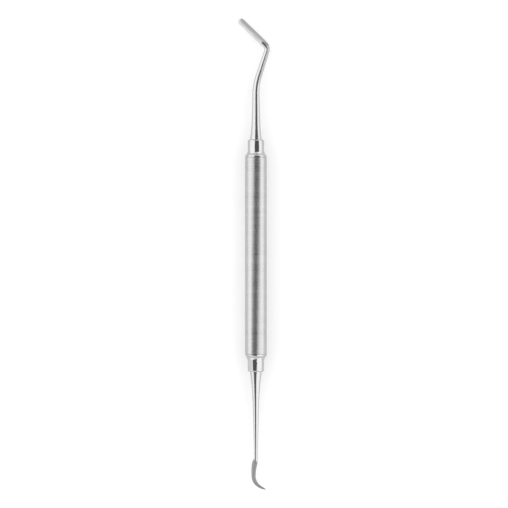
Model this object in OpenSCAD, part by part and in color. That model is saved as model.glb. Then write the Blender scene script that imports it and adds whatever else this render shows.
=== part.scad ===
// Double-ended ligature instrument in stainless steel. One end is a knurled foot on an angled
// shank, for pushing; the other is a slim shank with a ground, pointed hook.
// It lies along Y with the foot at +Y. Both ends are bent in the XY plane, the foot towards -X and
// the hook's point towards +X. The origin is the middle of the handle's axis.
// Each working end is drawn along its own Z, outwards from the collar's face at Z = 0.

/* [Handle] */
// Length of the handle tube
handle_l = 72; // [40:1:110]
// Outside diameter of the handle
handle_d = 8; // [7.2:0.1:10]
// Wall of the handle tube
handle_wall = 0.8; // [0.5:0.1:1.3]
// Bevel on the rims where the handle meets its necks
rim_bevel = 0.12; // [0.05:0.01:0.3]

/* [Necks] */
// Diameter of the collar beyond each end of the handle
collar_d = 6; // [5.4:0.1:6.8]
// Length of the collar's straight part
collar_l = 3; // [1:0.1:8]
// Radius that rounds the collar's outer corner
collar_round_r = 0.7; // [0.3:0.05:0.9]
// Radius of the hollow flare that widens the collar towards the handle
flare_r = 3; // [2:0.1:6]
// Radius that turns the flare into the handle's side
shoulder_r = 1.2; // [0.6:0.1:3]
// Length of the spigot inside the handle tube
spigot_l = 6; // [4:0.5:12]
// Bevel at the spigot's inner end
spigot_bevel = 0.4; // [0.1:0.05:0.8]
// Gap around a spigot in the tube and around a tang in its socket
braze_gap = 0.02; // [0.01:0.01:0.04]

/* [Tangs] */
// Diameter of the tang that holds each working end
tang_d = 3.5; // [2.5:0.1:4]
// Length of the tang
tang_l = 7; // [4:0.5:8]
// Bevel at the tang's inner end
tang_bevel = 0.4; // [0.1:0.05:0.8]
// Space left behind the tang in its socket
tang_end_gap = 0.5; // [0.1:0.1:1]
// Ledge of the collar's flat face left bare around each root
root_ledge = 0.08; // [0.02:0.01:0.3]

/* [Pusher end] */
// Diameter that the pusher's shank tapers from, without the flare at its root
pusher_shank_d = 3.3; // [2.6:0.1:3.8]
// Diameter that the pusher's shank tapers to, at the elbow
pusher_waist_d = 2; // [1.6:0.1:2.6]
// Distance in which the flare at the pusher's root fades
pusher_flare_l = 3.2; // [1.5:0.1:6]
// Straight length of the pusher's shank from the collar
pusher_straight_l = 16.7; // [8:0.1:30]
// Radius of the gentle bend
bend_r = 21; // [8:0.5:60]
// Angle of the gentle bend
bend_angle = 18; // [5:1:40]
// Straight length between the bend and the elbow
reach_l = 9.5; // [3:0.1:20]
// Radius of the elbow
elbow_r = 2.5; // [2:0.1:6]
// Angle of the elbow
elbow_angle = 64; // [20:1:90]
// Length of the foot from the elbow to its round end
foot_l = 12; // [6:0.1:20]
// Diameter of the foot over its knurl
foot_d = 2.4; // [1.8:0.1:3.2]

/* [Knurl] */
// Teeth around the foot
knurl_teeth = 15; // [10:1:20]
// Distance between teeth along the foot
knurl_pitch = 0.5; // [0.35:0.05:0.8]
// Depth of the knurl
knurl_depth = 0.1; // [0.05:0.01:0.2]
// Distance in which the knurl reaches its full depth
knurl_fade_l = 0.6; // [0.2:0.1:2]

/* [Hook end] */
// Diameter that the hook's shank tapers from, without the flare at its root
hook_shank_d = 2.5; // [2:0.1:3.2]
// Diameter that the hook's shank tapers to, at the blade
hook_waist_d = 1.46; // [1.2:0.02:1.9]
// Distance in which the flare at the hook's root fades
hook_flare_l = 6; // [2:0.1:9]
// Straight length of the hook's shank from the collar
hook_straight_l = 31; // [15:0.5:45]
// Length of the blade along its curve
blade_l = 14.4; // [9:0.1:22]
// Width of the blade at its widest, in the plane of its curve
blade_w = 2.08; // [1.5:0.02:2.6]
// Thickness of the blade where it is full
blade_t = 1.36; // [0.9:0.02:1.9]

/* [Hidden] */
$fn = 64;

// Steps of the drawn curves
arc_steps = 8;
shank_steps = 18;
bend_steps = 6;
reach_steps = 3;
blade_steps = 40;

// How far a bent part starts inside the turned part that carries it, and how far below its skin
sink_l = 0.5;
sink_skin = 0.01;

// Half angle of the drilled end of a socket
drill_half_angle = 59;

// Where the knurl starts, in elbow lengths: on the elbow's outer side, and on the rest of the foot
knurl_start_shares = [0.8, 1.43];

// The blade's curve: shares of its length, with the angle that each turns towards the point
blade_leg_shares = [0.10, 0.21, 0.20, 0.28, 0.21];
blade_leg_turns = [-15, 9, 8, 52, 20];

// Places along the blade, with the blade's width there as a share of its greatest width
blade_width_shares = [[0, 0.8], [0.08, 0.86], [0.18, 1], [0.3, 0.885], [0.5, 0.75],
    [0.66, 0.69], [0.8, 0.52], [0.92, 0.345], [1, 0.06]];
// Places along the blade, with its thickness there as a share of the full thickness
blade_thick_shares = [[0, 1], [0.18, 1], [0.3, 0.97], [0.5, 0.86], [0.66, 0.72], [0.8, 0.54],
    [0.92, 0.32], [1, 0.09]];
// Stretch of the blade in which the round shank turns into the blade
blade_blend_share = 0.18;
// Stretches in which the grinding reaches the blade's edges, and its ridge
edge_grind_shares = [0, 0.12];
ridge_grind_shares = [0.02, 0.2];
// How far the ground faces' corners stand outside the oval section: before the grinding and after
grind_reach_shares = [1.6, 1.04];
// How far the ridge leans from the middle towards the inside of the curve
ridge_lean_share = 0.12;
// Directions of the section's points in one quarter: the gap around 0 leaves a blunt edge
blade_quarter = [4, 16, 30, 46, 62, 74, 83];

// Sizes that follow from the ones above
handle_r = handle_d / 2;
collar_r = collar_d / 2;
flare_turn = acos(1 - (handle_r - collar_r) / (flare_r + shoulder_r));
flare_l = (flare_r + shoulder_r) * sin(flare_turn);
collar_start = rim_bevel + flare_l;
neck_l = collar_start + collar_l + collar_round_r;
face_y = handle_l / 2 + neck_l;
socket_r = tang_d / 2 + braze_gap;
socket_l = tang_l + tang_end_gap;
root_d = collar_d - 2 * (collar_round_r + root_ledge);
bend_l = bend_r * bend_angle * PI / 180;
elbow_l = elbow_r * elbow_angle * PI / 180;
elbow_at = pusher_straight_l + bend_l + reach_l;
foot_grow_l = elbow_l + foot_d / 2;
pusher_legs = [[pusher_straight_l, 0], [bend_l, bend_angle], [reach_l, 0],
    [elbow_l, -elbow_angle], [foot_l, 0]];
hook_legs = concat([[hook_straight_l, 0]],
    [for (k = [0 : len(blade_leg_turns) - 1]) [blade_leg_shares[k] * blade_l, blade_leg_turns[k]]]);

function mix(a, b, t) = a + (b - a) * t;
function clamp01(t) = min(max(t, 0), 1);
function ease(t) = let (c = clamp01(t)) c * c * (3 - 2 * c);
function ease_between(range, t) = ease((t - range[0]) / (range[1] - range[0]));

// Smooth curve through the pairs of a table, level with its neighbours at each pair
function slope(table, i) =
    let (a = table[max(i - 1, 0)], b = table[min(i + 1, len(table) - 1)]) (b[1] - a[1]) / (b[0] - a[0]);
function curve(table, t, i = 0) =
    i < len(table) - 2 && t > table[i + 1][0] ? curve(table, t, i + 1) :
    let (a = table[i], b = table[i + 1], gap = b[0] - a[0], u = (t - a[0]) / gap)
    mix(a[1], b[1], ease(u)) + gap * u * (1 - u) * ((1 - u) * slope(table, i) - u * slope(table, i + 1));

// Point and heading [x, z, angle from Z towards X] at a distance along legs of [length, turn]
function advance(at, step, bend) =
    let (h = at[2], after = h + bend * step)
    bend == 0 ? [at[0] + step * sin(h), at[1] + step * cos(h), h] :
    let (r = 180 / (PI * bend)) [at[0] + r * (cos(h) - cos(after)), at[1] + r * (sin(after) - sin(h)), after];
function walk(legs, d, i = 0, at = [0, 0, 0]) =
    let (leg = legs[i], next = advance(at, min(d, leg[0]), leg[1] / leg[0]))
    d <= leg[0] || i == len(legs) - 1 ? next : walk(legs, d - leg[0], i + 1, next);

// Point beside such a place: u towards the side, v along Y and w ahead
function beside(at, u, v, w = 0) =
    [at[0] + u * cos(at[2]) + w * sin(at[2]), v, at[1] - u * sin(at[2]) + w * cos(at[2])];

// Radius of a tapered shank at a distance from its root
function taper_r(d, from_d, to_d, taper_l, fade_l) =
    mix(from_d, to_d, min(d / taper_l, 1)) / 2 + (root_d - from_d) / 2 * exp(-d / fade_l);
function pusher_r(d) =
    taper_r(d, pusher_shank_d, pusher_waist_d, elbow_at, pusher_flare_l)
    + (foot_d - pusher_waist_d) / 2 * ease((d - elbow_at) / foot_grow_l);
function hook_r(d) = taper_r(d, hook_shank_d, hook_waist_d, hook_straight_l, hook_flare_l);

// Ring of points around a place on the pusher. Every other point is a tooth's crest, and between
// them the grooves cross. Angle 0 faces away from the inside of the elbow.
function knurl_cut(d, angle, fade) =
    let (share = mix(knurl_start_shares[0], knurl_start_shares[1], min(1 - cos(angle), 1)))
    knurl_depth * fade * clamp01((d - elbow_at - share * elbow_l) / knurl_fade_l);
function knurl_ring(at, row, d, r, ahead = 0, fade = 1) =
    [for (j = [0 : 2 * knurl_teeth - 1])
        let (angle = j * 180 / knurl_teeth, deep = (row + j) % 2 == 0 ? knurl_cut(d, angle, fade) : 0)
        beside(at, (r - deep) * cos(angle), (r - deep) * sin(angle), ahead)];

// Distance from the middle of the blade's section to its skin: an oval with two ground faces a side
function blade_reach(angle, half_w, half_t, edge, ridge) =
    let (c = abs(cos(angle)), s = abs(sin(angle)))
    1 / max(norm([c / half_w, s / half_t]), c / (half_w * edge) + s / (half_t * ridge));
blade_angles = concat(
    blade_quarter, [90], [for (k = [len(blade_quarter) - 1 : -1 : 0]) 180 - blade_quarter[k]],
    [for (a = blade_quarter) 180 + a], [270],
    [for (k = [len(blade_quarter) - 1 : -1 : 0]) 360 - blade_quarter[k]]);
function blade_ring(share, skin = 0) =
    let (at = walk(hook_legs, hook_straight_l + share * blade_l),
        blend = ease(share / blade_blend_share),
        half_w = mix(hook_waist_d, blade_w * curve(blade_width_shares, share), blend) / 2 - skin,
        half_t = mix(hook_waist_d, blade_t * curve(blade_thick_shares, share), blend) / 2 - skin,
        edge = mix(grind_reach_shares[0], grind_reach_shares[1], ease_between(edge_grind_shares, share)),
        ridge = mix(grind_reach_shares[0], grind_reach_shares[1], ease_between(ridge_grind_shares, share)))
    [for (angle = blade_angles)
        let (r = blade_reach(angle, half_w, half_t, edge, ridge), v = r * sin(angle))
        beside(at, r * cos(angle) + ridge_lean_share * blend * half_w * abs(v) / half_t, v)];

// Closed skin over rings with the same even number of points, and a pole beyond each end. The
// quads are split so that the points where the row and the place add up to an even number are
// joined: on a knurl those are the crossings of the grooves.
module loft(first_pole, rings, last_pole) {
    n = len(rings[0]);
    top = len(rings) - 1;
    last = 1 + n * len(rings);
    function spot(i, j) = 1 + i * n + j % n;
    function split(i, j) =
        let (a = spot(i, j), b = spot(i + 1, j), c = spot(i + 1, j + 1), d = spot(i, j + 1))
        (i + j) % 2 == 0 ? [[a, b, c], [a, c, d]] : [[a, b, d], [b, c, d]];
    polyhedron(
        points = concat([first_pole], [for (ring = rings) each ring], [last_pole]),
        faces = concat(
            [for (j = [0 : n - 1]) [0, spot(0, j), spot(0, j + 1)]],
            [for (i = [0 : top - 1]) for (j = [0 : n - 1]) each split(i, j)],
            [for (j = [0 : n - 1]) [last, spot(top, j + 1), spot(top, j)]]));
}

// Tang and straight shank in one turned piece. The profile lists [radius, distance] up the shank.
module turned_root(profile) {
    tang_r = tang_d / 2;
    rotate_extrude() polygon(concat(
        [[0, -tang_l], [tang_r - tang_bevel, -tang_l], [tang_r, tang_bevel - tang_l], [tang_r, 0]],
        profile,
        [[0, profile[len(profile) - 1][1]]]));
}

// Places from 0 to 1 that lie closer together near 0, where a root flares
function root_shares() = [for (k = [0 : shank_steps]) pow(k / shank_steps, 1.5)];

module pusher() {
    foot_r = foot_d / 2;
    rows = round((elbow_l + foot_l) / (knurl_pitch / 2));
    dome_rows = round(foot_r * PI / 2 / (knurl_pitch / 2));
    shank_places = concat(
        [for (k = [0 : bend_steps - 1]) pusher_straight_l + bend_l * k / bend_steps],
        [for (k = [0 : reach_steps - 1]) pusher_straight_l + bend_l + reach_l * k / reach_steps],
        [for (k = [0 : rows]) elbow_at + (elbow_l + foot_l) * k / rows]);
    last_row = len(shank_places) - 1;
    start = walk(pusher_legs, pusher_straight_l - sink_l);
    end = walk(pusher_legs, elbow_at + elbow_l + foot_l);
    turned_root([for (s = root_shares()) [pusher_r(s * pusher_straight_l), s * pusher_straight_l]]);
    loft(
        beside(start, 0, 0),
        concat(
            [knurl_ring(start, 0, 0, pusher_r(pusher_straight_l) - sink_skin)],
            [for (k = [0 : last_row])
                let (d = shank_places[k])
                knurl_ring(walk(pusher_legs, d), k, d, pusher_r(d) - (k == 0 ? sink_skin : 0))],
            [for (k = [1 : dome_rows - 1])
                let (lift = 90 * k / dome_rows)
                knurl_ring(end, last_row + k, elbow_at + elbow_l + foot_l, foot_r * cos(lift),
                    foot_r * sin(lift), cos(lift))]),
        beside(end, 0, 0, foot_r));
}

module hook() {
    waist_r = hook_r(hook_straight_l);
    start = walk(hook_legs, hook_straight_l - sink_l);
    end = walk(hook_legs, hook_straight_l + blade_l);
    shift = [0, 0, -sink_l];
    turned_root([for (s = root_shares()) [hook_r(s * hook_straight_l), s * hook_straight_l]]);
    loft(
        beside(start, 0, 0),
        concat(
            [[for (point = blade_ring(0, sink_skin)) point + shift]],
            [for (k = [0 : blade_steps]) blade_ring(k / blade_steps, k == 0 ? sink_skin : 0)]),
        beside(end, 0, 0, waist_r * blade_width_shares[len(blade_width_shares) - 1][1]));
}

// Plug with a spigot for the tube, a flare down to the collar and a blind socket for a tang
module neck() {
    spigot_r = handle_r - handle_wall - braze_gap;
    collar_end = collar_start + collar_l;
    socket_end = neck_l - socket_l;
    rotate_extrude() polygon(concat(
        [[0, -spigot_l], [spigot_r - spigot_bevel, -spigot_l], [spigot_r, spigot_bevel - spigot_l],
            [spigot_r, 0], [handle_r - rim_bevel, 0]],
        [for (k = [0 : arc_steps])
            let (t = flare_turn * k / arc_steps)
            [handle_r - shoulder_r * (1 - cos(t)), rim_bevel + shoulder_r * sin(t)]],
        [for (k = [arc_steps - 1 : -1 : 0])
            let (t = flare_turn * k / arc_steps)
            [collar_r + flare_r * (1 - cos(t)), collar_start - flare_r * sin(t)]],
        [for (k = [0 : arc_steps])
            let (t = 90 * k / arc_steps)
            [collar_r - collar_round_r * (1 - cos(t)), collar_end + collar_round_r * sin(t)]],
        [[socket_r, neck_l], [socket_r, socket_end], [0, socket_end - socket_r / tan(drill_half_angle)]]));
}

module at_foot_side(y) translate([0, y, 0]) rotate([-90, 0, 0]) children();
module at_hook_side(y) translate([0, -y, 0]) rotate([90, 0, 0]) children();

module handle_tube() {
    inner_r = handle_r - handle_wall;
    half_l = handle_l / 2;
    color("silver") rotate([-90, 0, 0]) rotate_extrude() polygon([
        [inner_r, -half_l], [handle_r - rim_bevel, -half_l], [handle_r, rim_bevel - half_l],
        [handle_r, half_l - rim_bevel], [handle_r - rim_bevel, half_l], [inner_r, half_l]]);
}

module pusher_neck() color("gainsboro") at_foot_side(handle_l / 2) neck();
module hook_neck() color("gainsboro") at_hook_side(handle_l / 2) neck();
module pusher_end() color("whitesmoke") at_foot_side(face_y) pusher();
module hook_end() color("whitesmoke") at_hook_side(face_y) hook();

handle_tube();
pusher_neck();
hook_neck();
pusher_end();
hook_end();
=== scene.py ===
"""Ligature instrument in polished and ground steel, lying on a white table.

Each working end is swept along its bent middle line by one Geometry Nodes tree, which also cuts the
knurl of the foot and grinds the faces of the hook. The handle and its two necks are turned.
"""

import math

import bmesh
import bpy
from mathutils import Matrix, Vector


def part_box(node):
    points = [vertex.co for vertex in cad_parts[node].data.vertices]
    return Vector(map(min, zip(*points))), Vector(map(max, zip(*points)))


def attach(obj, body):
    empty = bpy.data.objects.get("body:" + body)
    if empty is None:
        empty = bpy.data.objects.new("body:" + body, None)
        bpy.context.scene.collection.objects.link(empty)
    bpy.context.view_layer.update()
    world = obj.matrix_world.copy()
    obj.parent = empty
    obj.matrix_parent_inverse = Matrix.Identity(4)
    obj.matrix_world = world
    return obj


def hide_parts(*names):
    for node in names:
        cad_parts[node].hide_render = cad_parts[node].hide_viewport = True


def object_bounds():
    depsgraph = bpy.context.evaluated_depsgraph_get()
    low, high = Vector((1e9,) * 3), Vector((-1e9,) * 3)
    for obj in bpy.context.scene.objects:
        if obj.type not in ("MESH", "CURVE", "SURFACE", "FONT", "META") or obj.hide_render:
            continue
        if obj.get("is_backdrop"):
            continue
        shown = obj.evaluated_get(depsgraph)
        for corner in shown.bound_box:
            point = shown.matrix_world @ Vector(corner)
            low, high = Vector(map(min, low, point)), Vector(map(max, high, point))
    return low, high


bl_info = {
    "name": "Ligature instrument",
    "version": (1, 0, 0),
    "blender": (4, 5, 0),
    "location": "3D View > Sidebar > Instrument",
    "description": "Dresses a double-ended ligature instrument in steel and lights it on a white table",
    "category": "Object",
}

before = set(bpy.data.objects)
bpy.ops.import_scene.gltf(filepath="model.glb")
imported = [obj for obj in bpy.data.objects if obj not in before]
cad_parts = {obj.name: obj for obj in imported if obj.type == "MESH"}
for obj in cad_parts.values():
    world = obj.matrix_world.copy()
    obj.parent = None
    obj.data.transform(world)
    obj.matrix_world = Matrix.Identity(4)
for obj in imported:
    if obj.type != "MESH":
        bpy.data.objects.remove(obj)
CAD_BOX = [list(corner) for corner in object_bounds()]

MM = 0.001
BODY = "root"
WHITE = (1.0, 1.0, 1.0, 1.0)
BLACK = (0.0, 0.0, 0.0, 1.0)

# The handle's end and radius, the outer face of the collars, and the table that the handle lies on
HANDLE_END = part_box("handle_tube")[1].y
HANDLE_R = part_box("handle_tube")[1].z
FACE_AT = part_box("pusher_neck")[1].y
TABLE_Z = CAD_BOX[0][2]


class HandleSizes(bpy.types.PropertyGroup):
    """Sizes of the handle and its necks."""

    wall: bpy.props.FloatProperty(
        name="Tube wall", description="Wall of the handle tube", default=0.8 * MM, unit="LENGTH")
    bevel: bpy.props.FloatProperty(
        name="Rim bevel", description="Bevel where the handle meets its necks", default=0.12 * MM,
        unit="LENGTH")
    collar_r: bpy.props.FloatProperty(
        name="Collar radius", description="Radius of the collars", default=3 * MM, unit="LENGTH")
    collar_round: bpy.props.FloatProperty(
        name="Collar rounding", description="Radius of the collar's outer corner", default=0.7 * MM,
        unit="LENGTH")
    flare: bpy.props.FloatProperty(
        name="Flare radius", description="Radius of the hollow flare", default=3 * MM, unit="LENGTH")
    shoulder: bpy.props.FloatProperty(
        name="Shoulder radius", description="Radius between flare and handle", default=1.2 * MM,
        unit="LENGTH")
    spigot: bpy.props.FloatProperty(
        name="Spigot length", description="Length of the spigot in the tube", default=6 * MM, unit="LENGTH")
    gap: bpy.props.FloatProperty(
        name="Fit gap", description="Gap around spigots and tangs", default=0.02 * MM, unit="LENGTH")
    tang_r: bpy.props.FloatProperty(
        name="Tang radius", description="Radius of the tangs", default=1.75 * MM, unit="LENGTH")
    tang: bpy.props.FloatProperty(
        name="Tang length", description="Length of the tangs", default=7 * MM, unit="LENGTH")
    socket: bpy.props.FloatProperty(
        name="Socket depth", description="Depth of the sockets", default=7.5 * MM, unit="LENGTH")
    root_r: bpy.props.FloatProperty(
        name="Root radius", description="Radius of a shank at the collar's face", default=2.22 * MM,
        unit="LENGTH")


class PusherSizes(bpy.types.PropertyGroup):
    """Sizes of the pusher end."""

    shank_r: bpy.props.FloatProperty(
        name="Shank radius", description="Radius that the taper starts from", default=1.65 * MM,
        unit="LENGTH")
    waist_r: bpy.props.FloatProperty(
        name="Waist radius", description="Radius at the elbow", default=1.0 * MM, unit="LENGTH")
    fade: bpy.props.FloatProperty(
        name="Root flare", description="Distance in which the root's flare fades", default=3.2 * MM,
        unit="LENGTH")
    straight: bpy.props.FloatProperty(
        name="Straight", description="Straight length from the collar", default=16.7 * MM, unit="LENGTH")
    bend_r: bpy.props.FloatProperty(
        name="Bend radius", description="Radius of the gentle bend", default=21 * MM, unit="LENGTH")
    bend: bpy.props.FloatProperty(
        name="Bend", description="Angle of the gentle bend", default=math.radians(18), subtype="ANGLE")
    reach: bpy.props.FloatProperty(
        name="Reach", description="Straight length between bend and elbow", default=9.5 * MM, unit="LENGTH")
    elbow_r: bpy.props.FloatProperty(
        name="Elbow radius", description="Radius of the elbow", default=2.5 * MM, unit="LENGTH")
    elbow: bpy.props.FloatProperty(
        name="Elbow", description="Angle of the elbow", default=math.radians(64), subtype="ANGLE")
    foot: bpy.props.FloatProperty(
        name="Foot length", description="Straight length of the foot", default=12 * MM, unit="LENGTH")
    foot_r: bpy.props.FloatProperty(
        name="Foot radius", description="Radius of the foot over its knurl", default=1.2 * MM, unit="LENGTH")
    teeth: bpy.props.IntProperty(
        name="Knurl teeth", description="Teeth around the foot", default=15, min=6, max=30)
    pitch: bpy.props.FloatProperty(
        name="Knurl pitch", description="Distance between teeth along the foot", default=0.5 * MM,
        unit="LENGTH")
    depth: bpy.props.FloatProperty(
        name="Knurl depth", description="Depth of the grooves", default=0.1 * MM, unit="LENGTH")
    crest: bpy.props.FloatProperty(
        name="Knurl crest", description="Share of a tooth left flat on top", default=0.22, min=0, max=0.8)
    fade_in: bpy.props.FloatProperty(
        name="Knurl run-in", description="Distance in which the knurl gets its depth", default=0.6 * MM,
        unit="LENGTH")


class HookSizes(bpy.types.PropertyGroup):
    """Sizes of the hook end."""

    shank_r: bpy.props.FloatProperty(
        name="Shank radius", description="Radius that the taper starts from", default=1.25 * MM,
        unit="LENGTH")
    waist_r: bpy.props.FloatProperty(
        name="Waist radius", description="Radius at the blade", default=0.73 * MM, unit="LENGTH")
    fade: bpy.props.FloatProperty(
        name="Root flare", description="Distance in which the root's flare fades", default=6 * MM,
        unit="LENGTH")
    straight: bpy.props.FloatProperty(
        name="Straight", description="Straight length from the collar", default=31 * MM, unit="LENGTH")
    blade: bpy.props.FloatProperty(
        name="Blade length", description="Length of the blade along its curve", default=14.4 * MM,
        unit="LENGTH")
    half_w: bpy.props.FloatProperty(
        name="Half width", description="Half the blade's greatest width", default=1.04 * MM, unit="LENGTH")
    half_t: bpy.props.FloatProperty(
        name="Half thickness", description="Half the blade's full thickness", default=0.68 * MM,
        unit="LENGTH")


class SteelFinish(bpy.types.PropertyGroup):
    """Colour and polish of the steel, with painted light on the knurl and painted shade in its grooves."""

    steel: bpy.props.FloatVectorProperty(
        name="Steel", description="Colour of the bare polished steel", default=(0.51, 0.51, 0.51), size=3,
        subtype="COLOR", min=0, max=1)
    ground: bpy.props.FloatVectorProperty(
        name="Ground steel", description="Colour of the ground faces", default=(0.28, 0.274, 0.275), size=3,
        subtype="COLOR", min=0, max=1)
    # Painted light: a paler steel colour on the knurl of the foot stands in for the brighter light that it
    # shows
    knurled: bpy.props.FloatVectorProperty(
        name="Knurled steel", description="Colour on top of the knurl", default=(0.7, 0.7, 0.7), size=3,
        subtype="COLOR", min=0, max=1)
    # Painted shade: the darker colour down in the grooves of the knurl stands in for the shade that falls
    # there
    groove: bpy.props.FloatVectorProperty(
        name="Groove", description="Colour at the bottom of the knurl", default=(0.38, 0.38, 0.38), size=3,
        subtype="COLOR", min=0, max=1)
    polished: bpy.props.FloatProperty(
        name="Polished", description="Roughness of the polished necks", default=0.13, min=0, max=1)
    shank: bpy.props.FloatProperty(
        name="Shank", description="Roughness of the shanks", default=0.2, min=0, max=1)
    satin: bpy.props.FloatProperty(
        name="Satin", description="Roughness of the handle", default=0.3, min=0, max=1)
    honed: bpy.props.FloatProperty(
        name="Honed", description="Roughness of the ground faces", default=0.58, min=0, max=1)


class StageSetup(bpy.types.PropertyGroup):
    """Table, lamps, cards and camera."""

    view_height: bpy.props.FloatProperty(
        name="Framed height", description="Height of the picture at the instrument", default=186 * MM,
        unit="LENGTH")
    camera_up: bpy.props.FloatProperty(
        name="Camera height", description="Height of the camera over the handle's axis", default=1.2,
        unit="LENGTH")
    table: bpy.props.FloatVectorProperty(
        name="Table", description="Colour of the table", default=(0.7, 0.7, 0.7), size=3, subtype="COLOR",
        min=0, max=1)
    top_up: bpy.props.FloatProperty(
        name="White top-up", description="Light that brings the table to white", default=0.36, min=0, max=1)
    lamp: bpy.props.FloatProperty(
        name="Lamp brightness", description="Brightness of each side lamp, where 1 is white", default=0.75,
        min=0)
    dark_card: bpy.props.FloatProperty(
        name="Dark card", description="Brightness of the card over the instrument", default=0.13, min=0)
    reach_card: bpy.props.FloatProperty(
        name="Reach card", description="Brightness of the card beside the reach", default=1.08, min=0)
    foot_card: bpy.props.FloatProperty(
        name="Foot cards", description="Brightness of the two cards beyond the foot", default=0.6, min=0)
    hook_card: bpy.props.FloatProperty(
        name="Hook card", description="Brightness of the card beside the hook's collar", default=1.2, min=0)
    sky: bpy.props.FloatProperty(
        name="Sky", description="Strength of the even light from all round", default=0.5, min=0)


# The blade's curve: shares of its length, with the angle in degrees that each turns
BLADE_LEGS = ((0.10, -15), (0.21, 9), (0.20, 8), (0.28, 52), (0.21, 20))
# Places along the blade, with its width and its thickness there as shares of the full size
BLADE_WIDTHS = (
    (0, 0.8), (0.08, 0.86), (0.18, 1), (0.3, 0.885), (0.5, 0.75), (0.66, 0.69), (0.8, 0.52), (0.92, 0.345),
    (1, 0.06))
BLADE_THICKS = (
    (0, 1), (0.18, 1), (0.3, 0.97), (0.5, 0.86), (0.66, 0.72), (0.8, 0.54), (0.92, 0.32), (1, 0.09))
# Share of the blade in which the round shank becomes its oval
BLADE_BLEND = 0.18
# Shares of the blade between which the faces get their full depth, at the edges and at the ridge
EDGE_GRIND = (0, 0.12)
RIDGE_GRIND = (0.02, 0.2)
# Where two faces would meet at the edges and at the ridge, as shares of the oval: unground, and ground
EDGE_REACH = (2.0, 1.06)
RIDGE_REACH = (2.0, 1.2)
# How far the ridge lies off the middle, towards the inner side of the curve, as a share of the half width
RIDGE_LEAN = 0.12
# How crisply the ground faces meet the oval and each other
CRISPNESS = 12.0
# Where the ground look starts, as shares of the blade: on the outer and on the inner side of its curve
GRIND_START = (0.07, 0.12)
GRIND_FADE = 0.2 * MM
# Where the knurl starts, in lengths of the elbow from its start: at the outer side, and round the inner half
KNURL_START = (0.8, 1.43)
TANG_BEVEL = 0.4 * MM
DRILL_HALF_ANGLE = math.radians(59)

# The lines turned round the handle and the necks: fine lines and broad patches a metre, the darkest and
# the brightest streak as shares of the steel's colour, how far the roughness varies, and the height and
# strength of the bump
SATIN_LINES = {
    "scratches": (9000.0, 260.0), "shades": (0.78, 1.06), "spread": 0.16, "bump": (0.004 * MM, 0.5)}
COLLAR_LINES = {
    "scratches": (14000.0, 400.0), "shades": (0.94, 1.0), "spread": 0.08, "bump": (0.0015 * MM, 0.4)}
# The same numbers for the scratches of the working ends
SHANK_SCRATCHES = (9000.0, 500.0)
BLADE_SCRATCHES = (14000.0, 900.0)
SHANK_SHADES = (0.93, 1.03)
GROUND_SHADES = (0.72, 1.22)
SHANK_SPREAD = 0.1
SHANK_BUMP = (0.0015 * MM, 0.4)
GROUND_BUMP = (0.006 * MM, 0.6)
# How quickly turned lines change across the axis, along it and above it: hardly across, so they run round it
ROUND_SQUEEZE = (0.02, 1.0, 0.02)
# How quickly scratches change along a working end, and in metres a turn round it. The pusher's run round it
# and the hook's along it.
PUSHER_SQUEEZE = (1.0, 0.0004)
HOOK_SQUEEZE = (0.08, 0.01)
# Share of the fine lines in a streak, where the rest is broad patches, and how much its shade is spread
FINE_SHARE = 0.7
SHADE_CONTRAST = 2.4
# How much the painted shade of a groove keeps to its bottom, how much of the top's colour is left there
# under that painted shade, and the roughness that it adds
GROOVE_SHADE_POWER = 3.0
UNSHADED_IN_GROOVE = 0.1
GROOVE_DULLNESS = 0.3
# How far the scratches fray the start of the ground faces, in lengths of its fade, and the share of the
# bump that the shank before them keeps
GRIND_FRAY = 3.0
UNGROUND_BUMP = 0.2

# Each side lamp: how far out its lower and upper edges are, how high it reaches, and its length
LAMP_PLACE = (0.62, 0.14, 0.66, 1.5)
TABLE_R = 0.55
TABLE_SIDES = 96
# The dark card over the instrument that only the steel reflects. At each place along it, from the foot's
# side to the hook's: where its left and right edges are. It has a waist over each shank.
CARD_UP = 0.35
CARD_ROWS = (
    (0.360, -0.114, 0.420), (0.170, -0.114, 0.420), (0.130, -0.110, 0.380), (0.110, -0.090, 0.310),
    (0.085, -0.076, 0.310), (0.066, -0.114, 0.420), (0.040, -0.114, 0.420), (-0.040, -0.420, 0.114),
    (-0.066, -0.420, 0.114), (-0.085, -0.330, 0.040), (-0.110, -0.330, 0.040), (-0.135, -0.420, 0.045),
    (-0.170, -0.420, 0.100), (-0.360, -0.420, 0.114))
# Upright cards that only the steel reflects, close beside the ends. Each has its name, the setting that
# gives its brightness, and where its two sides stand on the table, with their heights.
UPRIGHT_CARDS = (
    ("reach_card", "reach_card", (0.0096, 0.0625, 0.014), (0.0125, 0.0800, 0.038)),
    ("foot_card", "foot_card", (0.0125, 0.0800, 0.038), (-0.0045, 0.0985, 0.024)),
    ("toe_card", "foot_card", (-0.0045, 0.0985, 0.024), (-0.0150, 0.0960, 0.018)),
    ("hook_card", "hook_card", (-0.0120, -0.0385, 0.014), (-0.0120, -0.0445, 0.014)))

# Fineness: points round a swept end, steps round a turned piece and in each of its arcs, sections in one
# pitch of the knurl, and sections along the straights, the bend, the reach and the blade
AROUND = 120
TURNED_STEPS = 160
ARC_STEPS = 12
PITCH_STEPS = 8
STRAIGHT_STEPS = 60
BEND_STEPS = 30
REACH_STEPS = 16
BLADE_STEPS = 150
# How much the sections of a straight crowd together at its root, where 1 is evenly
ROOT_CROWDING = 1.5
# Points closer than this become one
MERGE_SWEPT = 0.2e-6
MERGE_TURNED = 0.1e-6
# Edges that turn by more than this stay sharp
SHARP_TURNED = math.radians(30)
SHARP_KNURL = math.radians(50)
SHARP_BLADE = math.radians(40)
# Too small to matter: a smaller turn counts as straight, and no section is divided by less
TINY = 1e-9

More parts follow.
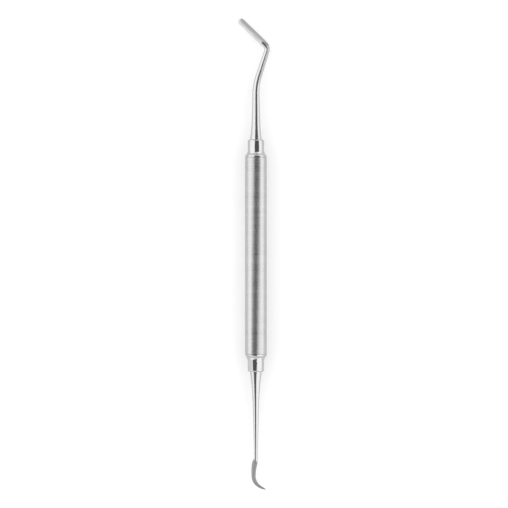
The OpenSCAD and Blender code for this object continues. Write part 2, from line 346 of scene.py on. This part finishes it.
# The numbers that each section carries to the tree. The first stays on the mesh, for the steel.
SECTION_MARKS = ("run", "half_width", "half_thick", "edge", "ridge", "lean", "knurl")
SWEEP_INPUTS = (
    ("Points around", "NodeSocketInt"),
    ("Teeth", "NodeSocketFloat"),
    ("Pitch", "NodeSocketFloat"),
    ("Depth", "NodeSocketFloat"),
    ("Crest", "NodeSocketFloat"),
    ("Knurl start", "NodeSocketFloat"),
    ("Knurl slant", "NodeSocketFloat"),
    ("Knurl run-in", "NodeSocketFloat"),
    ("Grind start", "NodeSocketFloat"),
    ("Grind slant", "NodeSocketFloat"),
    ("Grind fade", "NodeSocketFloat"),
    ("Steel", "NodeSocketMaterial"),
)
# Settings of the tree for an end without a knurl, and for one whose steel isn't ground
NO_KNURL = {
    "Teeth": 1.0, "Pitch": 1.0, "Depth": 0.0, "Crest": 0.0, "Knurl start": 0.0, "Knurl slant": 0.0,
    "Knurl run-in": 1.0}
NO_GRIND = {"Grind start": 1.0, "Grind slant": 0.0, "Grind fade": 1.0}


def mix(a, b, t):
    """Value at share t of the way from a to b."""
    return a + (b - a) * t


def ease(t):
    """Share t of a step that starts and ends softly."""
    t = min(max(t, 0), 1)
    return t * t * (3 - 2 * t)


def ease_between(stretch, t):
    """A soft step from 0 at the start of a stretch to 1 at its end."""
    return ease((t - stretch[0]) / (stretch[1] - stretch[0]))


def shares(count, power=1.0):
    """Shares from 0 to 1 in so many steps, even ones or crowded towards 0 by a power over 1."""
    return [(k / count) ** power for k in range(count + 1)]


def smooth_curve(table, t):
    """Value at t on a smooth curve through the pairs of a table."""
    last = len(table) - 1
    i = max(k for k in range(last) if k == 0 or table[k][0] < t)

    def slope(k):
        a, b = table[max(k - 1, 0)], table[min(k + 1, last)]
        return (b[1] - a[1]) / (b[0] - a[0])

    (ta, a), (tb, b) = table[i], table[i + 1]
    gap = tb - ta
    u = (t - ta) / gap
    return mix(a, b, ease(u)) + gap * u * (1 - u) * ((1 - u) * slope(i) - u * slope(i + 1))


def walk(legs, distance):
    """Place (x, z) and heading after a distance along legs of (length, turn in radians)."""
    x = z = heading = 0.0
    for number, (length, turn) in enumerate(legs):
        last = number == len(legs) - 1
        step = distance if last else min(distance, length)
        bend = turn / length
        if abs(turn) < TINY:
            x += step * math.sin(heading)
            z += step * math.cos(heading)
        else:
            after = heading + bend * step
            x += (math.cos(heading) - math.cos(after)) / bend
            z += (math.sin(after) - math.sin(heading)) / bend
            heading = after
        distance -= step
        if distance <= 0:
            break
    return x, z, heading


def taper_r(distance, sizes, handle, taper_length):
    """Radius of a tapered shank at a distance from its root."""
    return (mix(sizes.shank_r, sizes.waist_r, min(distance / taper_length, 1))
            + (handle.root_r - sizes.shank_r) * math.exp(-distance / sizes.fade))


def station(place, run, half_width, half_thick=None, ahead=0.0, edge=EDGE_REACH[0], ridge=RIDGE_REACH[0],
            lean=0.0, knurl=0.0):
    """One section of a working end: its middle and side in the end's own plane, its sizes and its marks."""
    x, z, heading = place
    return {
        "centre": (x + ahead * math.sin(heading), z + ahead * math.cos(heading)),
        "side": (math.cos(heading), -math.sin(heading)),
        "run": run,
        "half_width": half_width,
        "half_thick": half_width if half_thick is None else half_thick,
        "edge": edge,
        "ridge": ridge,
        "lean": lean,
        "knurl": knurl,
    }


def tang_stations(handle):
    """The tang behind a working end's root, from its closed inner end to where the shank starts."""
    profile = ((0.0, 0.0), (0.0, handle.tang_r - TANG_BEVEL), (TANG_BEVEL, handle.tang_r),
               (handle.tang, handle.tang_r))
    return [station((0.0, along - handle.tang, 0.0), 0.0, radius) for along, radius in profile]


def elbow_of(sizes):
    """Where the pusher's elbow starts along its middle line, and how long it is."""
    return sizes.straight + sizes.bend_r * sizes.bend + sizes.reach, sizes.elbow_r * sizes.elbow


def pusher_stations(sizes, handle):
    """Sections of the pusher end, from the tang to the round end of its foot."""
    bend_length = sizes.bend_r * sizes.bend
    elbow_at, elbow_length = elbow_of(sizes)
    foot_end = elbow_at + elbow_length + sizes.foot
    legs = ((sizes.straight, 0), (bend_length, sizes.bend), (sizes.reach, 0), (elbow_length, -sizes.elbow),
            (sizes.foot, 0))
    grow_length = elbow_length + sizes.foot_r
    rows = round((foot_end - elbow_at) / sizes.pitch * PITCH_STEPS)
    dome_rows = round(sizes.foot_r * math.pi / 2 / sizes.pitch * PITCH_STEPS)

    def radius(distance):
        grown = (sizes.foot_r - sizes.waist_r) * ease((distance - elbow_at) / grow_length)
        return taper_r(distance, sizes, handle, elbow_at) + grown

    places = ([s * sizes.straight for s in shares(STRAIGHT_STEPS, ROOT_CROWDING)[:-1]]
              + [sizes.straight + s * bend_length for s in shares(BEND_STEPS)[:-1]]
              + [sizes.straight + bend_length + s * sizes.reach for s in shares(REACH_STEPS)[:-1]]
              + [mix(elbow_at, foot_end, s) for s in shares(rows)])
    made = tang_stations(handle)
    made += [station(walk(legs, d), d, radius(d), knurl=1.0 if d >= elbow_at else 0.0) for d in places]
    for share in shares(dome_rows)[1:]:
        lift = share * math.pi / 2
        made.append(station(
            walk(legs, foot_end), foot_end + sizes.foot_r * lift, sizes.foot_r * math.cos(lift),
            ahead=sizes.foot_r * math.sin(lift), knurl=math.cos(lift)))
    return made


def hook_stations(sizes, handle):
    """Sections of the hook end, from the tang to the point of its blade."""
    legs = ((sizes.straight, 0),) + tuple((s * sizes.blade, math.radians(turn)) for s, turn in BLADE_LEGS)
    made = tang_stations(handle)
    for share in shares(STRAIGHT_STEPS, ROOT_CROWDING)[:-1]:
        d = share * sizes.straight
        made.append(station(walk(legs, d), d, taper_r(d, sizes, handle, sizes.straight)))
    start_r = taper_r(sizes.straight, sizes, handle, sizes.straight)
    for share in shares(BLADE_STEPS):
        d = sizes.straight + share * sizes.blade
        blend = ease(share / BLADE_BLEND)
        made.append(station(
            walk(legs, d), d,
            mix(start_r, sizes.half_w * smooth_curve(BLADE_WIDTHS, share), blend),
            mix(start_r, sizes.half_t * smooth_curve(BLADE_THICKS, share), blend),
            edge=mix(*EDGE_REACH, ease_between(EDGE_GRIND, share)),
            ridge=mix(*RIDGE_REACH, ease_between(RIDGE_GRIND, share)),
            lean=RIDGE_LEAN * blend))
    made.append(dict(made[-1], half_width=0.0, half_thick=0.0))
    return made


class Field:
    """A number that varies over a surface. Sums and products of fields become Math nodes."""

    def __init__(self, tree, socket):
        self.tree = tree
        self.socket = socket

    def math(self, operation, *others):
        """A Math node of this field with other fields or plain numbers."""
        node = self.tree.nodes.new("ShaderNodeMath")
        node.operation = operation
        for slot, value in enumerate((self, *others)):
            if isinstance(value, Field):
                self.tree.links.new(value.socket, node.inputs[slot])
            else:
                node.inputs[slot].default_value = value
        return Field(self.tree, node.outputs[0])

    def __add__(self, other):
        return self.math("ADD", other)

    def __sub__(self, other):
        return self.math("SUBTRACT", other)

    def __mul__(self, other):
        return self.math("MULTIPLY", other)

    def __truediv__(self, other):
        return self.math("DIVIDE", other)

    def under(self, top):
        """The lower of this and another."""
        return self.math("MINIMUM", top)

    def over(self, floor):
        """The higher of this and another."""
        return self.math("MAXIMUM", floor)

    def size(self):
        """This without its sign."""
        return self.math("ABSOLUTE")

    def clamped(self):
        """This kept between 0 and 1."""
        return self.over(0.0).under(1.0)

    def rest(self):
        """What this leaves of 1."""
        return self * -1.0 + 1.0

    def between(self, low, high):
        """A share of 0 to 1 laid over a range."""
        return self * (high - low) + low


def put(tree, kind, inputs=(), **options):
    """Adds a node, sets its options, then fills or links its inputs by name or number."""
    node = tree.nodes.new(kind)
    for name, value in options.items():
        setattr(node, name, value)
    for key, value in dict(inputs).items():
        value = value.socket if isinstance(value, Field) else value
        if isinstance(value, bpy.types.NodeSocket):
            tree.links.new(value, node.inputs[key])
        else:
            node.inputs[key].default_value = value
    return node


def stored(tree, name, kind="FLOAT"):
    """What is stored on the geometry under a name."""
    return put(tree, "GeometryNodeInputNamedAttribute", {"Name": name}, data_type=kind).outputs["Attribute"]


def storing(tree, geometry, name, number):
    """The geometry with a number stored on its points under a name."""
    node = put(
        tree, "GeometryNodeStoreNamedAttribute", {"Geometry": geometry, "Name": name, "Value": number},
        data_type="FLOAT", domain="POINT")
    return node.outputs["Geometry"]


def knurl_cut(given, run, turn, cosine, amount):
    """Where the knurl is, and how deep it is cut: from 0 at a crest to 1 where two grooves cross."""
    phase = run / given["Pitch"]
    around = turn * given["Teeth"]
    one_way = ((phase + around).math("FRACT") - 0.5).size()
    other_way = ((phase - around).math("FRACT") - 0.5).size()
    tooth = (one_way.over(other_way) * 2.0).rest() / given["Crest"].rest()
    start = given["Knurl start"] + given["Knurl slant"] * cosine.rest().under(1.0)
    fade = ((run - start) / given["Knurl run-in"]).clamped() * amount
    return fade, tooth.under(1.0).rest() * fade


def working_end_tree():
    """Sweeps a section along the middle line of a working end, knurls it and grinds its faces."""
    tree = bpy.data.node_groups.new("Working end", "GeometryNodeTree")
    tree.interface.new_socket("Middle line", in_out="INPUT", socket_type="NodeSocketGeometry")
    for name, kind in SWEEP_INPUTS:
        tree.interface.new_socket(name, in_out="INPUT", socket_type=kind)
    tree.interface.new_socket("Working end", in_out="OUTPUT", socket_type="NodeSocketGeometry")
    given_node = tree.nodes.new("NodeGroupInput")
    given = {name: Field(tree, given_node.outputs[name]) for name, kind in SWEEP_INPUTS}

    line = put(tree, "GeometryNodeMeshToCurve", {"Mesh": given_node.outputs["Middle line"]})
    ring = put(tree, "GeometryNodeCurvePrimitiveCircle", {
        "Resolution": given["Points around"], "Radius": 1.0})
    along_ring = tree.nodes.new("GeometryNodeSplineParameter")
    skin = put(tree, "GeometryNodeCurveToMesh", {
        "Curve": line.outputs["Curve"],
        "Profile Curve": storing(tree, ring.outputs["Curve"], "turn", along_ring.outputs["Factor"])})

    value = {name: Field(tree, stored(tree, name)) for name in ("turn", *SECTION_MARKS)}
    angle = value["turn"] * (2 * math.pi)
    cosine, sine = angle.math("COSINE"), angle.math("SINE")
    across, up = cosine.size(), sine.size()
    wide = value["half_width"].over(TINY)
    thick = value["half_thick"].over(TINY)
    knurled, cut = knurl_cut(given, value["run"], value["turn"], cosine, value["knurl"])
    inner_side = cosine * 0.5 + 0.5
    grind_from = given["Grind start"] + given["Grind slant"] * inner_side
    ground = (value["run"] - grind_from) / given["Grind fade"]

    # The skin lies on the oval or on the ground faces, whichever is nearer, with a smooth change between them
    oval = ((across / wide).math("POWER", 2.0) + (up / thick).math("POWER", 2.0)).math("SQRT")
    faces = across / (wide * value["edge"]) + up / (thick * value["ridge"])
    flatness = ((faces / oval).math("POWER", CRISPNESS) + 1.0).math("POWER", 1.0 / CRISPNESS)
    reach = (oval.math("POWER", -1.0) / flatness - cut * given["Depth"]).over(0.0)
    sideways = reach * cosine + value["lean"] * wide * (reach * up / thick)

    def scaled(vector, factor):
        node = put(tree, "ShaderNodeVectorMath", {0: vector, "Scale": factor}, operation="SCALE")
        return node.outputs[0]

    def added(a, b):
        return put(tree, "ShaderNodeVectorMath", {0: a, 1: b}, operation="ADD").outputs[0]

    upward = put(tree, "ShaderNodeCombineXYZ", {"Z": reach * sine}).outputs[0]
    place = added(added(stored(tree, "centre", "FLOAT_VECTOR"),
                        scaled(stored(tree, "side", "FLOAT_VECTOR"), sideways)), upward)
    geometry = skin.outputs["Mesh"]
    # Half way round and back, so that the scratches meet where the ring closes
    around = value["turn"].math("PINGPONG", 0.5)
    # The knurl's share is stored for the painted light on the foot's steel, the groove's depth for its
    # painted shade and dullness
    for name, field in (("ground", ground), ("knurled", knurled), ("groove", cut), ("around", around)):
        geometry = storing(tree, geometry, name, field)
    for kind, inputs in (
            ("GeometryNodeSetPosition", {"Position": place}),
            ("GeometryNodeMergeByDistance", {"Distance": MERGE_SWEPT}),
            ("GeometryNodeRealizeInstances", {}),
            ("GeometryNodeSetMaterial", {"Material": given["Steel"]})):
        geometry = put(tree, kind, {"Geometry": geometry, **inputs}).outputs["Geometry"]
    put(tree, "NodeGroupOutput", {"Working end": geometry})
    return tree


def in_scene(name, data):
    """A new object in the scene for a mesh, a lamp or a camera."""
    piece = bpy.data.objects.new(name, data)
    bpy.context.scene.collection.objects.link(piece)
    return piece


def tidy_mesh(mesh, sharp_over):
    """Outward normals, smooth faces and sharp edges over an angle."""
    work = bmesh.new()
    work.from_mesh(mesh)
    bmesh.ops.recalc_face_normals(work, faces=work.faces)
    work.to_mesh(mesh)
    work.free()
    mesh.shade_smooth()
    mesh.set_sharp_from_angle(angle=sharp_over)


def finished(piece, node):
    """Hands a finished piece to the frame in place of the node that it dresses."""
    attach(piece, BODY)
    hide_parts(node)


def sweep(name, stations, y_from, y_way, settings, steel):
    """Builds a working end as a plain mesh, with its root at y_from and its stations along y_way."""
    vectors = {
        "centre": [(s["centre"][0], y_from + y_way * s["centre"][1], 0.0) for s in stations],
        "side": [(s["side"][0], y_way * s["side"][1], 0.0) for s in stations],
    }
    mesh = bpy.data.meshes.new(name)
    mesh.from_pydata(vectors["centre"], [(k, k + 1) for k in range(len(stations) - 1)], [])
    for mark, made in vectors.items():
        flat = [number for vector in made for number in vector]
        mesh.attributes.new(mark, "FLOAT_VECTOR", "POINT").data.foreach_set("vector", flat)
    for mark in SECTION_MARKS:
        numbers = [s[mark] for s in stations]
        mesh.attributes.new(mark, "FLOAT", "POINT").data.foreach_set("value", numbers)
    piece = in_scene(name, mesh)

    tree = bpy.data.node_groups.get("Working end") or working_end_tree()
    modifier = piece.modifiers.new("Working end", "NODES")
    modifier.node_group = tree
    sockets = {item.name: item.identifier for item in tree.interface.items_tree if item.in_out == "INPUT"}
    for socket_name, value in {**settings, "Points around": AROUND, "Steel": steel}.items():
        modifier[sockets[socket_name]] = value
    graph = bpy.context.evaluated_depsgraph_get()
    swept = bpy.data.meshes.new_from_object(
        piece.evaluated_get(graph), preserve_all_data_layers=True, depsgraph=graph)
    piece.modifiers.clear()
    piece.data = swept
    for mark in (*vectors, "turn", *SECTION_MARKS[1:]):
        if mark in swept.attributes:
            swept.attributes.remove(swept.attributes[mark])
    return piece


def turned(name, profile, steel):
    """Turns a closed profile of (radius, y) points about the Y axis."""
    work = bmesh.new()
    verts = [work.verts.new((radius, y, 0.0)) for radius, y in profile]
    edges = [work.edges.new((a, b)) for a, b in zip(verts, verts[1:] + verts[:1])]
    bmesh.ops.spin(work, geom=verts + edges, cent=(0, 0, 0), axis=(0, 1, 0), angle=2 * math.pi,
                   steps=TURNED_STEPS, use_merge=True)
    bmesh.ops.remove_doubles(work, verts=work.verts, dist=MERGE_TURNED)
    bmesh.ops.delete(work, geom=[e for e in work.edges if not e.link_faces], context="EDGES")
    mesh = bpy.data.meshes.new(name)
    work.to_mesh(mesh)
    work.free()
    mesh.materials.append(steel)
    piece = in_scene(name, mesh)
    tidy_mesh(mesh, SHARP_TURNED)
    return piece


def neck_profile(handle):
    """(radius, distance from the handle's end) around a neck, from its spigot to its socket."""
    drop = HANDLE_R - handle.collar_r
    turn = math.acos(1 - drop / (handle.flare + handle.shoulder))
    collar_start = handle.bevel + (handle.flare + handle.shoulder) * math.sin(turn)
    length = FACE_AT - HANDLE_END
    collar_end = length - handle.collar_round
    spigot_r = HANDLE_R - handle.wall - handle.gap
    socket_r = handle.tang_r + handle.gap
    socket_end = length - handle.socket

    def arc(start_r, start_at, size, angle):
        """Points on an arc that starts along the axis. A size under 0 goes back, round a hollow."""
        angles = [share * angle for share in shares(ARC_STEPS)]
        return [(start_r - size * (1 - math.cos(t)), start_at + size * math.sin(t)) for t in angles]

    return [
        (0.0, -handle.spigot), (spigot_r - TANG_BEVEL, -handle.spigot),
        (spigot_r, TANG_BEVEL - handle.spigot), (spigot_r, 0.0), (HANDLE_R - handle.bevel, 0.0),
        *arc(HANDLE_R, handle.bevel, handle.shoulder, turn),
        *arc(handle.collar_r, collar_start, -handle.flare, turn)[-2::-1],
        *arc(handle.collar_r, collar_end, handle.collar_round, math.pi / 2),
        (socket_r, length), (socket_r, socket_end),
        (0.0, socket_end - socket_r / math.tan(DRILL_HALF_ANGLE))]


def brushing_group():
    """Fine parallel scratches: a height for the bump and a shade from 0 to 1."""
    name = "Brushed lines"
    if name in bpy.data.node_groups:
        return bpy.data.node_groups[name]
    tree = bpy.data.node_groups.new(name, "ShaderNodeTree")
    tree.interface.new_socket("Place", in_out="INPUT", socket_type="NodeSocketVector")
    for label in ("Fineness", "Patches"):
        tree.interface.new_socket(label, in_out="INPUT", socket_type="NodeSocketFloat")
    for label in ("Height", "Shade"):
        tree.interface.new_socket(label, in_out="OUTPUT", socket_type="NodeSocketFloat")
    given = tree.nodes.new("NodeGroupInput")

    def noise(scale, detail, roughness):
        node = put(tree, "ShaderNodeTexNoise", {
            "Vector": given.outputs["Place"], "Scale": given.outputs[scale], "Detail": detail,
            "Roughness": roughness})
        return Field(tree, node.outputs["Fac"])

    fine = noise("Fineness", detail=4.0, roughness=0.65)
    broad = noise("Patches", detail=2.0, roughness=0.5)
    streaks = fine * FINE_SHARE + broad * (1 - FINE_SHARE)
    shade = ((streaks - 0.5) * SHADE_CONTRAST + 0.5).clamped()
    put(tree, "NodeGroupOutput", {"Height": fine, "Shade": shade})
    return tree


def shader_material(name, settings):
    """A new material with some inputs of its shader set: the material, its tree and its shader."""
    material = bpy.data.materials.new(name)
    material.use_nodes = True
    shader = material.node_tree.nodes["Principled BSDF"]
    for label, value in settings.items():
        shader.inputs[label].default_value = value
    return material, material.node_tree, shader


def steel_material(name):
    """A new metal material, its tree and its shader."""
    return shader_material(name, {"Metallic": 1.0})


def marked(tree, name):
    """A number that the sweep stored on the surface, for a material."""
    return Field(tree, put(tree, "ShaderNodeAttribute", attribute_name=name).outputs["Fac"])


def brushing(tree, place, fineness, patches):
    """Places the shared scratches in a material; gives their height and shade."""
    group = put(
        tree, "ShaderNodeGroup", {"Place": place, "Fineness": fineness, "Patches": patches},
        node_tree=brushing_group())
    return Field(tree, group.outputs["Height"]), Field(tree, group.outputs["Shade"])


def around_the_axis(tree):
    """Places whose scratches run round the instrument's Y axis."""
    coordinates = tree.nodes.new("ShaderNodeTexCoord")
    squeezed = put(tree, "ShaderNodeMapping", {
        "Vector": coordinates.outputs["Object"], "Scale": ROUND_SQUEEZE})
    return squeezed.outputs["Vector"]


def along_the_end(tree, along, round_about):
    """Places measured along and round a working end, so that scratches follow its bends."""
    place = put(tree, "ShaderNodeCombineXYZ", {
        "X": marked(tree, "run") * along, "Y": marked(tree, "around") * round_about})
    return place.outputs[0]


def bumped(tree, shader, height, distance, strength):
    """Bump from a height, on the shader's normal."""
    bump = put(tree, "ShaderNodeBump", {"Height": height, "Distance": distance, "Strength": strength})
    tree.links.new(bump.outputs["Normal"], shader.inputs["Normal"])


def blended(tree, first, second, share):
    """A colour between two colours, each plain or already a socket."""
    blend = put(tree, "ShaderNodeMix", {"Factor": share}, data_type="RGBA")
    slots = [socket for socket in blend.inputs if socket.type == "RGBA"]
    for slot, colour in zip(slots, (first, second)):
        if isinstance(colour, bpy.types.NodeSocket):
            tree.links.new(colour, slot)
        else:
            slot.default_value = (*colour, 1.0)
    return next(socket for socket in blend.outputs if socket.type == "RGBA")


def tinted(tree, shader, first, second, share):
    """Base colour between two colours."""
    tree.links.new(blended(tree, first, second, share), shader.inputs["Base Color"])


def roughened(tree, shader, middle, spread, shade, extra=None):
    """Roughness that varies with the scratches' shade about a middle value, with an extra where given."""
    varied = shade * spread if extra is None else extra + shade * spread
    tree.links.new((varied + (middle - spread / 2)).socket, shader.inputs["Roughness"])


def turned_steel(name, colour, roughness, scratches, shades, spread, bump):
    """Steel with fine lines turned round it."""
    steel, tree, shader = steel_material(name)
    height, shade = brushing(tree, around_the_axis(tree), *scratches)
    dark, bright = ([channel * share for channel in colour] for share in shades)
    tinted(tree, shader, dark, bright, shade)
    roughened(tree, shader, roughness, spread, shade)
    bumped(tree, shader, height, *bump)
    return steel


def knurled_steel(finish):
    """Polished shank and foot: painted light on the knurl, painted shade and dullness in its grooves."""
    steel, tree, shader = steel_material("Knurled steel")
    height, shade = brushing(tree, along_the_end(tree, *PUSHER_SQUEEZE), *SHANK_SCRATCHES)
    groove = marked(tree, "groove")
    # Painted shade: the colour darkens towards the bottom of each groove
    top = groove.math("POWER", GROOVE_SHADE_POWER).between(1.0, UNSHADED_IN_GROOVE)
    # Painted light: the steel turns paler over the knurl of the foot
    bare = blended(tree, finish.steel, finish.knurled, marked(tree, "knurled"))
    tinted(tree, shader, finish.groove, bare, top * shade.between(*SHANK_SHADES))
    roughened(tree, shader, finish.shank, SHANK_SPREAD, shade, groove * GROOVE_DULLNESS)
    bumped(tree, shader, height, *SHANK_BUMP)
    return steel


def ground_steel(finish):
    """Polished shank that turns into a blade with dull, lengthwise ground faces."""
    steel, tree, shader = steel_material("Ground steel")
    height, shade = brushing(tree, along_the_end(tree, *HOOK_SQUEEZE), *BLADE_SCRATCHES)
    face = (marked(tree, "ground") + (height - 0.5) * GRIND_FRAY).clamped()
    tinted(tree, shader, finish.steel, finish.ground, face * shade.between(*GROUND_SHADES))
    roughened(tree, shader, finish.shank, SHANK_SPREAD, shade, face * (finish.honed - finish.shank))
    bumped(tree, shader, height * face.between(UNGROUND_BUMP, 1.0), *GROUND_BUMP)
    return steel


class INSTRUMENT_OT_handle(bpy.types.Operator):
    """Turn the satin handle tube"""

    bl_idname = "instrument.handle"
    bl_label = "Handle tube"

    def execute(self, context):
        handle = context.scene.instrument_handle
        finish = context.scene.instrument_finish
        inner = HANDLE_R - handle.wall
        rim = [(inner, HANDLE_END), (HANDLE_R - handle.bevel, HANDLE_END),
               (HANDLE_R, HANDLE_END - handle.bevel)]
        profile = [(radius, -y) for radius, y in rim] + rim[::-1]
        steel = turned_steel("Satin turned steel", finish.steel, finish.satin, **SATIN_LINES)
        finished(turned("satin_handle", profile, steel), "handle_tube")
        return {"FINISHED"}


class INSTRUMENT_OT_necks(bpy.types.Operator):
    """Turn the polished neck at each end of the handle"""

    bl_idname = "instrument.necks"
    bl_label = "Necks"

    def execute(self, context):
        finish = context.scene.instrument_finish
        steel = turned_steel("Polished turned steel", finish.steel, finish.polished, **COLLAR_LINES)
        outline = neck_profile(context.scene.instrument_handle)
        for name, node, way in (("foot_side_neck", "pusher_neck", 1), ("hook_side_neck", "hook_neck", -1)):
            profile = [(radius, way * (HANDLE_END + along)) for radius, along in outline]
            finished(turned(name, profile, steel), node)
        return {"FINISHED"}


class INSTRUMENT_OT_pusher(bpy.types.Operator):
    """Sweep the bent shank and knurl its foot"""

    bl_idname = "instrument.pusher"
    bl_label = "Pusher end"

    def execute(self, context):
        scene = context.scene
        sizes = scene.instrument_pusher
        elbow_at, elbow_length = elbow_of(sizes)
        settings = {
            **NO_GRIND,
            "Teeth": float(sizes.teeth),
            "Pitch": sizes.pitch,
            "Depth": sizes.depth,
            "Crest": sizes.crest,
            "Knurl start": elbow_at + KNURL_START[0] * elbow_length,
            "Knurl slant": (KNURL_START[1] - KNURL_START[0]) * elbow_length,
            "Knurl run-in": sizes.fade_in,
        }
        piece = sweep("knurled_pusher", pusher_stations(sizes, scene.instrument_handle), FACE_AT, 1,
                      settings, knurled_steel(scene.instrument_finish))
        tidy_mesh(piece.data, SHARP_KNURL)
        finished(piece, "pusher_end")
        return {"FINISHED"}


class INSTRUMENT_OT_hook(bpy.types.Operator):
    """Sweep the slim shank and its ground hook"""

    bl_idname = "instrument.hook"
    bl_label = "Hook end"

    def execute(self, context):
        scene = context.scene
        sizes = scene.instrument_hook
        settings = {
            **NO_KNURL,
            "Grind start": sizes.straight + GRIND_START[0] * sizes.blade,
            "Grind slant": (GRIND_START[1] - GRIND_START[0]) * sizes.blade,
            "Grind fade": GRIND_FADE,
        }
        piece = sweep("ground_hook", hook_stations(sizes, scene.instrument_handle), -FACE_AT, -1,
                      settings, ground_steel(scene.instrument_finish))
        tidy_mesh(piece.data, SHARP_BLADE)
        finished(piece, "hook_end")
        return {"FINISHED"}


def seen_directly(tree):
    """1 for what the camera sees, straight or in metal or glass, and 0 for light on the object."""
    rays = tree.nodes.new("ShaderNodeLightPath")
    camera, glossy, through = (Field(tree, rays.outputs[name]) for name in (
        "Is Camera Ray", "Is Glossy Ray", "Is Transmission Ray"))
    return camera.over(glossy).over(through)


def sheet(name, corners, material):
    """A flat piece of the stage."""
    mesh = bpy.data.meshes.new(name)
    mesh.from_pydata(corners, [], [tuple(range(len(corners)))])
    mesh.materials.append(material)
    piece = in_scene(name, mesh)
    piece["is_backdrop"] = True
    return piece


def table_material(stage):
    """White table: plain diffuse, topped up to full white where it is seen."""
    material, tree, shader = shader_material("White table", {
        "Base Color": (*stage.table, 1.0), "Roughness": 0.9, "Specular IOR Level": 0.0})
    glow = put(tree, "ShaderNodeEmission", {
        "Color": WHITE, "Strength": seen_directly(tree) * stage.top_up})
    both = put(tree, "ShaderNodeAddShader", {0: shader.outputs[0], 1: glow.outputs[0]})
    tree.links.new(both.outputs[0], tree.nodes["Material Output"].inputs["Surface"])
    return material


def reflected_card(name, corners, brightness):
    """Plain card of one brightness that shows only as a reflection."""
    material, tree, shader = shader_material(name, {
        "Base Color": BLACK, "Specular IOR Level": 0.0, "Emission Color": WHITE,
        "Emission Strength": brightness})
    card = sheet(name, corners, material)
    card.visible_camera = False
    card.visible_diffuse = False
    card.visible_shadow = False
    card.visible_transmission = False


def hang_cards(stage):
    """The dark card over the instrument and the upright cards beside its ends."""
    left_edge = [(left, y, CARD_UP) for y, left, right in CARD_ROWS]
    right_edge = [(right, y, CARD_UP) for y, left, right in CARD_ROWS]
    reflected_card("overhead_card", left_edge + right_edge[::-1], stage.dark_card)
    for name, setting, *sides in UPRIGHT_CARDS:
        feet = [(x, y, TABLE_Z) for x, y, height in sides]
        tops = [(x, y, TABLE_Z + height) for x, y, height in sides]
        reflected_card(name, feet + tops[::-1], getattr(stage, setting))


def side_lamp(name, side, brightness):
    """Long soft lamp beside the instrument, leaning in over it."""
    low_x, high_x, top, length = LAMP_PLACE
    data = bpy.data.lights.new(name, "AREA")
    data.shape = "RECTANGLE"
    data.size = math.hypot(low_x - high_x, top)
    data.size_y = length
    # The power with which a face of this size looks that bright
    data.energy = brightness * math.pi * data.size * data.size_y
    lamp = in_scene(name, data)
    lamp.location = (side * (low_x + high_x) / 2, 0.0, top / 2)
    lamp.rotation_euler = (0.0, side * math.atan2(top, low_x - high_x), 0.0)


def white_room(sky):
    """A world that is full white where it is seen, and gives even light of the sky's strength."""
    world = bpy.data.worlds.new("White room")
    world.use_nodes = True
    tree = world.node_tree
    room = tree.nodes["Background"]
    room.inputs["Color"].default_value = WHITE
    tree.links.new(seen_directly(tree).between(sky, 1.0).socket, room.inputs["Strength"])
    return world


def camera_above(stage):
    """Camera that looks straight down on the middle of the instrument."""
    low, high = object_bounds()
    middle = (low + high) / 2
    data = bpy.data.cameras.new("camera")
    data.sensor_width = 36.0
    data.lens = data.sensor_width * stage.camera_up / stage.view_height
    data.clip_end = 20.0
    camera = in_scene("camera", data)
    camera.location = (middle.x, middle.y, stage.camera_up)
    return camera


class INSTRUMENT_OT_stage(bpy.types.Operator):
    """Lay the table, hang the lamps and cards and set the camera"""

    bl_idname = "instrument.stage"
    bl_label = "Table, light and camera"

    def execute(self, context):
        scene = context.scene
        stage = scene.instrument_stage
        rim = [(TABLE_R * math.cos(t), TABLE_R * math.sin(t), TABLE_Z)
               for t in (2 * math.pi * share for share in shares(TABLE_SIDES)[:-1])]
        sheet("table_top", rim, table_material(stage))
        hang_cards(stage)
        side_lamp("left_lamp", -1, stage.lamp)
        side_lamp("right_lamp", 1, stage.lamp)
        scene.world = white_room(stage.sky)
        scene.view_settings.view_transform = "Standard"
        scene.camera = camera_above(stage)
        return {"FINISHED"}


class INSTRUMENT_PT_panel(bpy.types.Panel):
    """Sizes, finishes and build steps of the instrument"""

    bl_label = "Ligature instrument"
    bl_idname = "INSTRUMENT_PT_panel"
    bl_space_type = "VIEW_3D"
    bl_region_type = "UI"
    bl_category = "Instrument"

    def draw(self, context):
        for name in GROUPS:
            box = self.layout.box()
            group = getattr(context.scene, name)
            for size in group.__annotations__:
                box.prop(group, size)
        for step in STEPS:
            self.layout.operator(step.bl_idname)


GROUPS = {
    "instrument_handle": HandleSizes,
    "instrument_pusher": PusherSizes,
    "instrument_hook": HookSizes,
    "instrument_finish": SteelFinish,
    "instrument_stage": StageSetup,
}
STEPS = (
    INSTRUMENT_OT_handle, INSTRUMENT_OT_necks, INSTRUMENT_OT_pusher, INSTRUMENT_OT_hook,
    INSTRUMENT_OT_stage)
CLASSES = (*GROUPS.values(), *STEPS, INSTRUMENT_PT_panel)


def register():
    """Adds the panel, the build steps and their settings to Blender."""
    for kind in CLASSES:
        bpy.utils.register_class(kind)
    for name, kind in GROUPS.items():
        setattr(bpy.types.Scene, name, bpy.props.PointerProperty(type=kind))


def unregister():
    """Takes them out again."""
    for name in GROUPS:
        delattr(bpy.types.Scene, name)
    for kind in reversed(CLASSES):
        bpy.utils.unregister_class(kind)


def main():
    """Builds every piece and the stage."""
    register()
    bpy.ops.instrument.handle()
    bpy.ops.instrument.necks()
    bpy.ops.instrument.pusher()
    bpy.ops.instrument.hook()
    bpy.ops.instrument.stage()


if __name__ == "__main__":
    main()
